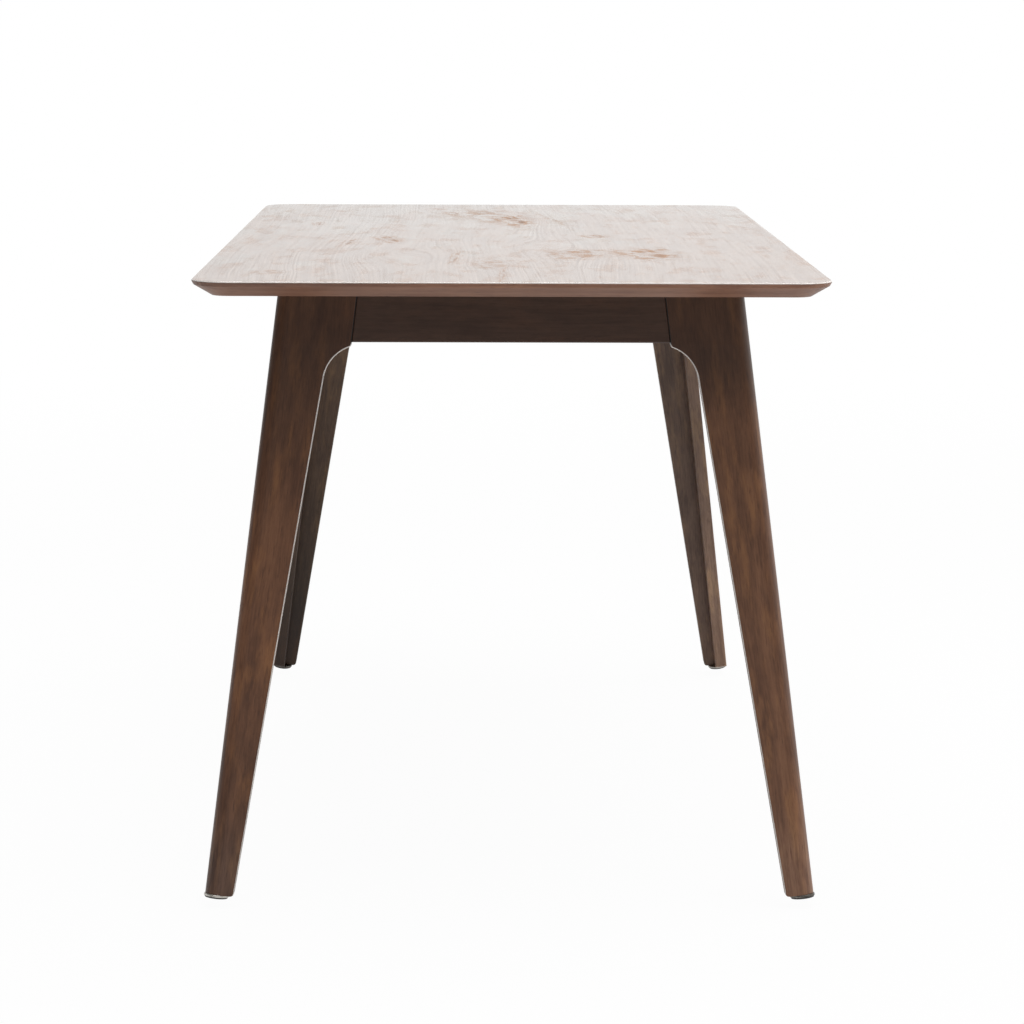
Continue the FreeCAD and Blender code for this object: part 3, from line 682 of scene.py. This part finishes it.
def boardMaterial(look):
    material, tree, shader, place = startMaterial("top_core_board")
    vector = vectorCalc(tree, "MULTIPLY", place, look["chipStretch"])
    inputs = {"Vector": vector, "Scale": look["chipScale"]}
    chips = addNode(tree, "ShaderNodeTexVoronoi", inputs).outputs["Color"]
    flake = addNode(tree, "ShaderNodeSeparateColor", {0: chips}).outputs[0]
    dust = layer(tree, place, look["dust"])
    tone = blended(tree, (flake, look["chipShare"]), (dust, look["dustShare"]))
    tree.links.new(mixColour(tree, tone, look["dark"], look["light"]), shader.inputs["Base Color"])
    tree.links.new(ramp(tree, dust, *look["roughBand"]), shader.inputs["Roughness"])
    bumpNormal(tree, shader, tone, look["depth"])
    return material


def dressInside(setup):
    dressWood("top_back_veneer", look=backVeneer, **backSheet)
    dress("top_core", boardMaterial(coreBoard))
    for name, cut in insideWood.items():
        dressWood(name, look=rawBeech, **cut)
    seed = setup["seed"]
    for corner, leg in cornerLegs.items():
        sx, sy = leg["way"]
        dressWood("corner_brace_" + corner, (sx, -sy, 0), setup["braceHeart"], seed, rawBeech,
                  setup["ringWidth"])
        dressWood("leg_" + corner + "_post", (0, 0, 1), setup["postHeart"], seed + setup["postSeed"],
                  rawBeech, setup["ringWidth"])
        seed += setup["seedStep"]


dressInside(cornerWood)
print("inner frame dressed")

# metals and plastic
metals = {
    "zinc": {"colour": (0.60, 0.61, 0.60, 1), "shade": (0.42, 0.43, 0.44, 1),
             "roughness": 0.34, "spread": 0.22},
    "brass": {"colour": (0.76, 0.55, 0.25, 1), "shade": (0.52, 0.36, 0.15, 1),
              "roughness": 0.30, "spread": 0.20},
    "nickel": {"colour": (0.74, 0.71, 0.66, 1), "shade": (0.56, 0.53, 0.48, 1),
               "roughness": 0.20, "spread": 0.16},
}
metalSkin = {
    "clouds": {"scale": 240.0, "detail": 4.0, "rough": 0.6, "seed": 2.2},
    "cloudShare": 0.8,
    "scuffs": {"stretch": (1, 1, 9), "scale": 900.0, "detail": 2.0, "rough": 0.5, "seed": 6.1},
    "scuffShare": 0.4,
    "toneBand": (0.35, 0.85),
    "toneCentre": 0.6,
    "film": {"scale": 130.0, "detail": 3.0, "rough": 0.6, "seed": 4.7},
    "filmBand": (0.30, 0.55),
    "filmLeast": 0.7,
    "filmColour": (0.030, 0.024, 0.020, 1),
    "depth": 0.00001,
}
glideSkin = {
    "dark": (0.040, 0.038, 0.036, 1),
    "light": (0.085, 0.080, 0.075, 1),
    "specks": {"scale": 1400.0, "detail": 2.0, "rough": 0.5, "seed": 3.3},
    "wear": {"scale": 180.0, "detail": 3.0, "rough": 0.6, "seed": 1.9},
    "wearBand": (0.35, 0.75),
    "roughBand": (0.3, 0.7, 0.42, 0.62),
    "depth": 0.00002,
}
tarnish = {"front_left": 0.0, "front_right": 0.85, "back_left": 0.85, "back_right": 0.35}


def metalMaterial(name, look, tarnished=0.0):
    skin = metalSkin
    material, tree, shader, place = startMaterial(name)
    scuffs = layer(tree, place, skin["scuffs"])
    clouds = layer(tree, place, skin["clouds"])
    tone = blended(tree, (clouds, skin["cloudShare"]), (scuffs, skin["scuffShare"]))
    colour = mixColour(tree, ramp(tree, tone, *skin["toneBand"]), look["shade"], look["colour"])
    least = skin["filmLeast"] * tarnished
    film = ramp(tree, layer(tree, place, skin["film"]), *skin["filmBand"], least, tarnished)
    colour = mixColour(tree, film, colour, skin["filmColour"])
    tree.links.new(colour, shader.inputs["Base Color"])
    shader.inputs["Metallic"].default_value = 1.0
    rough = swing(tree, tone, skin["toneCentre"], look["spread"], look["roughness"])
    tree.links.new(rough, shader.inputs["Roughness"])
    bumpNormal(tree, shader, scuffs, skin["depth"])
    return material


def plasticMaterial(look):
    material, tree, shader, place = startMaterial("glidePlastic")
    wear = layer(tree, place, look["wear"])
    colour = mixColour(tree, ramp(tree, wear, *look["wearBand"]), look["dark"], look["light"])
    tree.links.new(colour, shader.inputs["Base Color"])
    tree.links.new(ramp(tree, wear, *look["roughBand"]), shader.inputs["Roughness"])
    bumpNormal(tree, shader, layer(tree, place, look["specks"]), look["depth"])
    return material


zincSteel = metalMaterial("zincSteel", metals["zinc"])
glidePlastic = plasticMaterial(glideSkin)
for name in ("brace_screws", "top_screws", "hanger_bolts", "bolt_washers", "bolt_nuts"):
    dress(name, zincSteel)
dress("foot_inserts", metalMaterial("turnedBrass", metals["brass"]))
for corner, share in tarnish.items():
    plate = metalMaterial("nickelPlate_" + corner, metals["nickel"], share)
    dress("foot_stem_" + corner, plate)
    dress("foot_cup_" + corner, plate)
    dress("foot_glide_" + corner, glidePlastic)
print("metals dressed")

# cut threads and hexagons, which take the place of the plain rods and prisms, metres
threadCut = {
    "turnSteps": 24,
    "spareRows": 3,            # turned beyond the rod's ends and cut off there
    "firstRow": -1.5,
    # share of the pitch at which the ridge's corners stand
    "ridge": ((0.0, "root"), (0.15, "root"), (0.50, "crest"), (0.65, "crest")),
    "weld": 1e-6,
    "cutMargin": 1e-8,
}
lathe = {"turnSteps": 24, "weld": 1e-7}
hexagon = {
    "turnSteps": 48,
    "sides": 6,
    "chamferShare": 0.98,      # of the half width over flats, where the chamfer starts
    "chamferAngle": math.radians(30),
    "margin": 1e-6,
}
footStem = {
    "thread": {"pitch": 0.0010, "root": 0.00245, "crest": 0.0030},
    "threadLength": 0.025,
    "collarHeight": 0.002,
    "collarFlats": 0.007,
    "collarBore": 0.001,
    "neckRadius": 0.002,
    "rivetRadius": 0.0045,
    "rivetThick": 0.0009,
    "rivetRound": 0.0004,
}
hangerBolt = {
    "point": {"radius": 0.0005, "length": 0.006},
    "woodThread": {"pitch": 0.0030, "root": 0.0028, "crest": 0.0040},
    "woodLength": 0.040,
    "nutThread": {"pitch": 0.00125, "root": 0.0033, "crest": 0.0040},
    "nutLength": 0.032,
    "shankRadius": 0.0040,
}
boltNut = {"flats": 0.013, "bore": 0.0040}


def chain(shape, points, closed=False):
    verts = [bmesh.ops.create_vert(shape, co=(radius, 0, level))["vert"][0] for radius, level in points]
    pairs = list(zip(verts, verts[1:]))
    if closed:
        pairs.append((verts[-1], verts[0]))
    return verts + [shape.edges.new(pair) for pair in pairs]


def lathed(points, closed=False, steps=lathe["turnSteps"]):
    shape = bmesh.new()
    bmesh.ops.spin(shape, geom=chain(shape, points, closed), cent=(0, 0, 0), axis=(0, 0, 1),
                   angle=2 * math.pi, steps=steps, use_merge=True)
    bmesh.ops.remove_doubles(shape, verts=shape.verts, dist=lathe["weld"])
    bmesh.ops.recalc_face_normals(shape, faces=shape.faces)
    return shape


# a ridge that climbs one pitch a turn, cut off flat at both ends
def threadedRod(low, high, thread):
    shape = bmesh.new()
    pitch = thread["pitch"]
    steps = threadCut["turnSteps"]
    rows = math.ceil((high - low) / pitch) + threadCut["spareRows"]
    start = low + threadCut["firstRow"] * pitch
    points = []
    for row in range(rows):
        points += [(thread[part], start + (row + share) * pitch) for share, part in threadCut["ridge"]]
    points.append((thread["root"], start + rows * pitch))
    bmesh.ops.spin(shape, geom=chain(shape, points), cent=(0, 0, 0), axis=(0, 0, 1), angle=2 * math.pi,
                   dvec=(0, 0, pitch / steps), steps=steps, use_merge=False)
    bmesh.ops.remove_doubles(shape, verts=shape.verts, dist=threadCut["weld"])
    for level, way in ((low, -1), (high, 1)):
        everything = shape.verts[:] + shape.edges[:] + shape.faces[:]
        bmesh.ops.bisect_plane(shape, geom=everything, dist=threadCut["cutMargin"], plane_co=(0, 0, level),
                               plane_no=(0, 0, way), clear_outer=True)
    bmesh.ops.holes_fill(shape, edges=[edge for edge in shape.edges if edge.is_boundary], sides=0)
    bmesh.ops.recalc_face_normals(shape, faces=shape.faces)
    return shape


# a turned ring whose rim is pressed to six flats, with chamfered corners
def hexRing(low, high, flats, bore):
    rim = flats / 2
    inner = hexagon["chamferShare"] * rim
    outline = [(bore, low), (inner, low), (rim, low), (rim, high), (inner, high), (bore, high)]
    shape = lathed(outline, True, hexagon["turnSteps"])
    middle = (low + high) / 2
    halfSide = math.pi / hexagon["sides"]
    for vert in shape.verts:
        radius = math.hypot(vert.co.x, vert.co.y)
        if radius < inner + hexagon["margin"]:
            continue
        turn = (math.atan2(vert.co.y, vert.co.x) + halfSide) % (2 * halfSide) - halfSide
        flat = rim / math.cos(turn)
        drop = (flat - inner) * math.tan(hexagon["chamferAngle"])
        vert.co.z -= drop if vert.co.z > middle else -drop
        vert.co.x *= flat / radius
        vert.co.y *= flat / radius
    return shape


# where a round solid's axis starts, and its length along it
def axisOf(points, axis):
    across = axis.orthogonal().normalized()
    third = axis.cross(across)
    spans = [[point.dot(way) for point in points] for way in (axis, across, third)]
    middles = [(min(span) + max(span)) / 2 for span in spans]
    start = axis * min(spans[0]) + across * middles[1] + third * middles[2]
    return start, max(spans[0]) - min(spans[0])


def gather(mesh, shapes, start, axis):
    place = Matrix.Translation(start) @ Vector((0, 0, 1)).rotation_difference(axis).to_matrix().to_4x4()
    whole = bmesh.new()
    whole.from_mesh(mesh)
    for shape in shapes:
        bmesh.ops.transform(shape, matrix=place, verts=shape.verts)
        part = bpy.data.meshes.new("part")
        shape.to_mesh(part)
        shape.free()
        whole.from_mesh(part)
        bpy.data.meshes.remove(part)
    whole.to_mesh(mesh)
    whole.free()


def metalPiece(name, node, body, material):
    mesh = bpy.data.meshes.new(name)
    mesh.materials.append(material)
    piece = bpy.data.objects.new(name, mesh)
    bpy.context.scene.collection.objects.link(piece)
    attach(piece, body)
    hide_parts(node)
    return mesh


def makeStem(corner, setup):
    joint = next(joint for joint in frame["joints"] if joint["child"] == corner + "_stem")
    node = "foot_stem_" + corner
    up = -Vector(joint["axis"]).normalized()
    start, length = axisOf([vert.co for vert in nodes[node].data.vertices], up)
    threadLow = length - setup["threadLength"]
    collarLow = threadLow - setup["collarHeight"]
    radius, thick, rounding = setup["rivetRadius"], setup["rivetThick"], setup["rivetRound"]
    neck = setup["neckRadius"]
    rivet = [(0, 0), (radius - rounding, 0), (radius, rounding), (radius, thick), (neck, thick),
             (neck, collarLow), (0, collarLow)]
    shapes = [lathed(rivet), hexRing(collarLow, threadLow, setup["collarFlats"], setup["collarBore"]),
              threadedRod(threadLow, length, setup["thread"])]
    plate = nodes[node].data.materials[0]
    mesh = metalPiece("threaded_stem_" + corner, node, corner + "_stem", plate)
    gather(mesh, shapes, start, up)


def makeBolts(setup, nut):
    bolts = metalPiece("threaded_bolts", "hanger_bolts", "table", zincSteel)
    nuts = metalPiece("chamfered_nuts", "bolt_nuts", "table", zincSteel)
    point = setup["point"]
    woodThread = setup["woodThread"]
    radius = setup["shankRadius"]
    for leg in cornerLegs.values():
        sx, sy = leg["way"]
        inward = Vector((-sx, -sy, 0)).normalized()
        here = {}
        for node in ("hanger_bolts", "bolt_nuts"):
            places = [vert.co for vert in nodes[node].data.vertices]
            places = [place for place in places if place.x * sx > 0 and place.y * sy > 0]
            here[node] = axisOf(places, inward)
        start, length = here["hanger_bolts"]
        shankLow = point["length"] + setup["woodLength"]
        shankHigh = length - setup["nutLength"]
        tip = [(0, 0), (point["radius"], 0), (woodThread["root"], point["length"]), (0, point["length"])]
        shank = [(0, shankLow), (radius, shankLow), (radius, shankHigh), (0, shankHigh)]
        shapes = [lathed(tip), threadedRod(point["length"], shankLow, woodThread), lathed(shank),
                  threadedRod(shankHigh, length, setup["nutThread"])]
        gather(bolts, shapes, start, inward)
        start, height = here["bolt_nuts"]
        gather(nuts, [hexRing(0, height, nut["flats"], nut["bore"])], start, inward)


for corner in cornerLegs:
    makeStem(corner, footStem)
makeBolts(hangerBolt, boltNut)
print("threads cut")

# floor, world and lamp
stageSetup = {
    "floorSize": 60.0,
    "floorDrop": 0.008,          # room below for the feet when they are wound out
    "floorColour": (0.86, 0.86, 0.86, 1),
    "floorGlow": 0.965,          # share of plain white that the camera sees in the floor
    "mirrorGlow": 0.40,          # and that reflections see in it
    "floorClear": (1.3, 5.0),    # distance over which that share rises to the whole
    "skyLevel": 0.75,            # light from all round
    "cameraSide": 0.16,          # how dark the studio is behind the camera
    "cameraTurn": (-0.75, 0.1),  # and the directions between which it clears
    "leftSide": 0.06,            # the same on the left
    "leftTurn": (-0.85, 0.05),
    "boxSize": 3.0,
    "boxPlace": (0.5, -0.3, 3.4),
    "boxPower": 95.0,
}
plainWhite = (1, 1, 1, 1)


def seenDirectly(tree):
    path = addNode(tree, "ShaderNodeLightPath", {}).outputs
    return path["Is Camera Ray"], calc(tree, "MAXIMUM", path["Is Glossy Ray"], path["Is Transmission Ray"])


def floorMaterial(setup):
    material = bpy.data.materials.new("floorWhite")
    material.use_nodes = True
    tree = material.node_tree
    tree.nodes.remove(tree.nodes["Principled BSDF"])
    matt = addNode(tree, "ShaderNodeBsdfDiffuse", {"Color": setup["floorColour"]}).outputs[0]
    glow = addNode(tree, "ShaderNodeEmission", {"Color": plainWhite, "Strength": 1.0}).outputs[0]
    straight, mirrored = seenDirectly(tree)
    distance = vectorCalc(tree, "LENGTH", addNode(tree, "ShaderNodeTexCoord", {}).outputs["Object"])
    toCamera = ramp(tree, distance, *setup["floorClear"], setup["floorGlow"], 1.0)
    toMirror = ramp(tree, distance, *setup["floorClear"], setup["mirrorGlow"], 1.0)
    share = blended(tree, (straight, toCamera), (mirrored, toMirror))
    both = addNode(tree, "ShaderNodeMixShader", {0: share, 1: matt, 2: glow}).outputs[0]
    tree.links.new(both, tree.nodes["Material Output"].inputs["Surface"])
    return material


def makeFloor(setup):
    mesh = bpy.data.meshes.new("floor")
    shape = bmesh.new()
    bmesh.ops.create_grid(shape, x_segments=1, y_segments=1, size=setup["floorSize"] / 2)
    bmesh.ops.translate(shape, vec=(0, 0, -setup["floorDrop"]), verts=shape.verts)
    shape.to_mesh(mesh)
    shape.free()
    mesh.materials.append(floorMaterial(setup))
    floor = bpy.data.objects.new("floor", mesh)
    bpy.context.scene.collection.objects.link(floor)


def makeWorld(setup):
    world = bpy.data.worlds.new("studio")
    bpy.context.scene.world = world
    world.use_nodes = True
    tree = world.node_tree
    straight, mirrored = seenDirectly(tree)
    part = axes(tree, addNode(tree, "ShaderNodeTexCoord", {}).outputs["Generated"])
    toBack = ramp(tree, part["Y"], *setup["cameraTurn"], setup["cameraSide"], 1.0)
    toRight = ramp(tree, part["X"], *setup["leftTurn"], setup["leftSide"], 1.0)
    studio = product(tree, toBack, toRight)
    lit = product(tree, studio, setup["skyLevel"])
    plain = calc(tree, "MAXIMUM", studio, straight)
    level = mixValue(tree, calc(tree, "MAXIMUM", straight, mirrored), lit, plain)
    setInputs(tree, tree.nodes["Background"], {"Color": plainWhite, "Strength": level})


def makeLamp(setup):
    lamp = bpy.data.lights.new("overheadBox", "AREA")
    lamp.size = setup["boxSize"]
    lamp.energy = setup["boxPower"]
    box = bpy.data.objects.new("overheadBox", lamp)
    box.location = setup["boxPlace"]
    bpy.context.scene.collection.objects.link(box)


makeFloor(stageSetup)
makeWorld(stageSetup)
makeLamp(stageSetup)
bpy.context.scene.view_settings.view_transform = "Standard"
print("stage set")
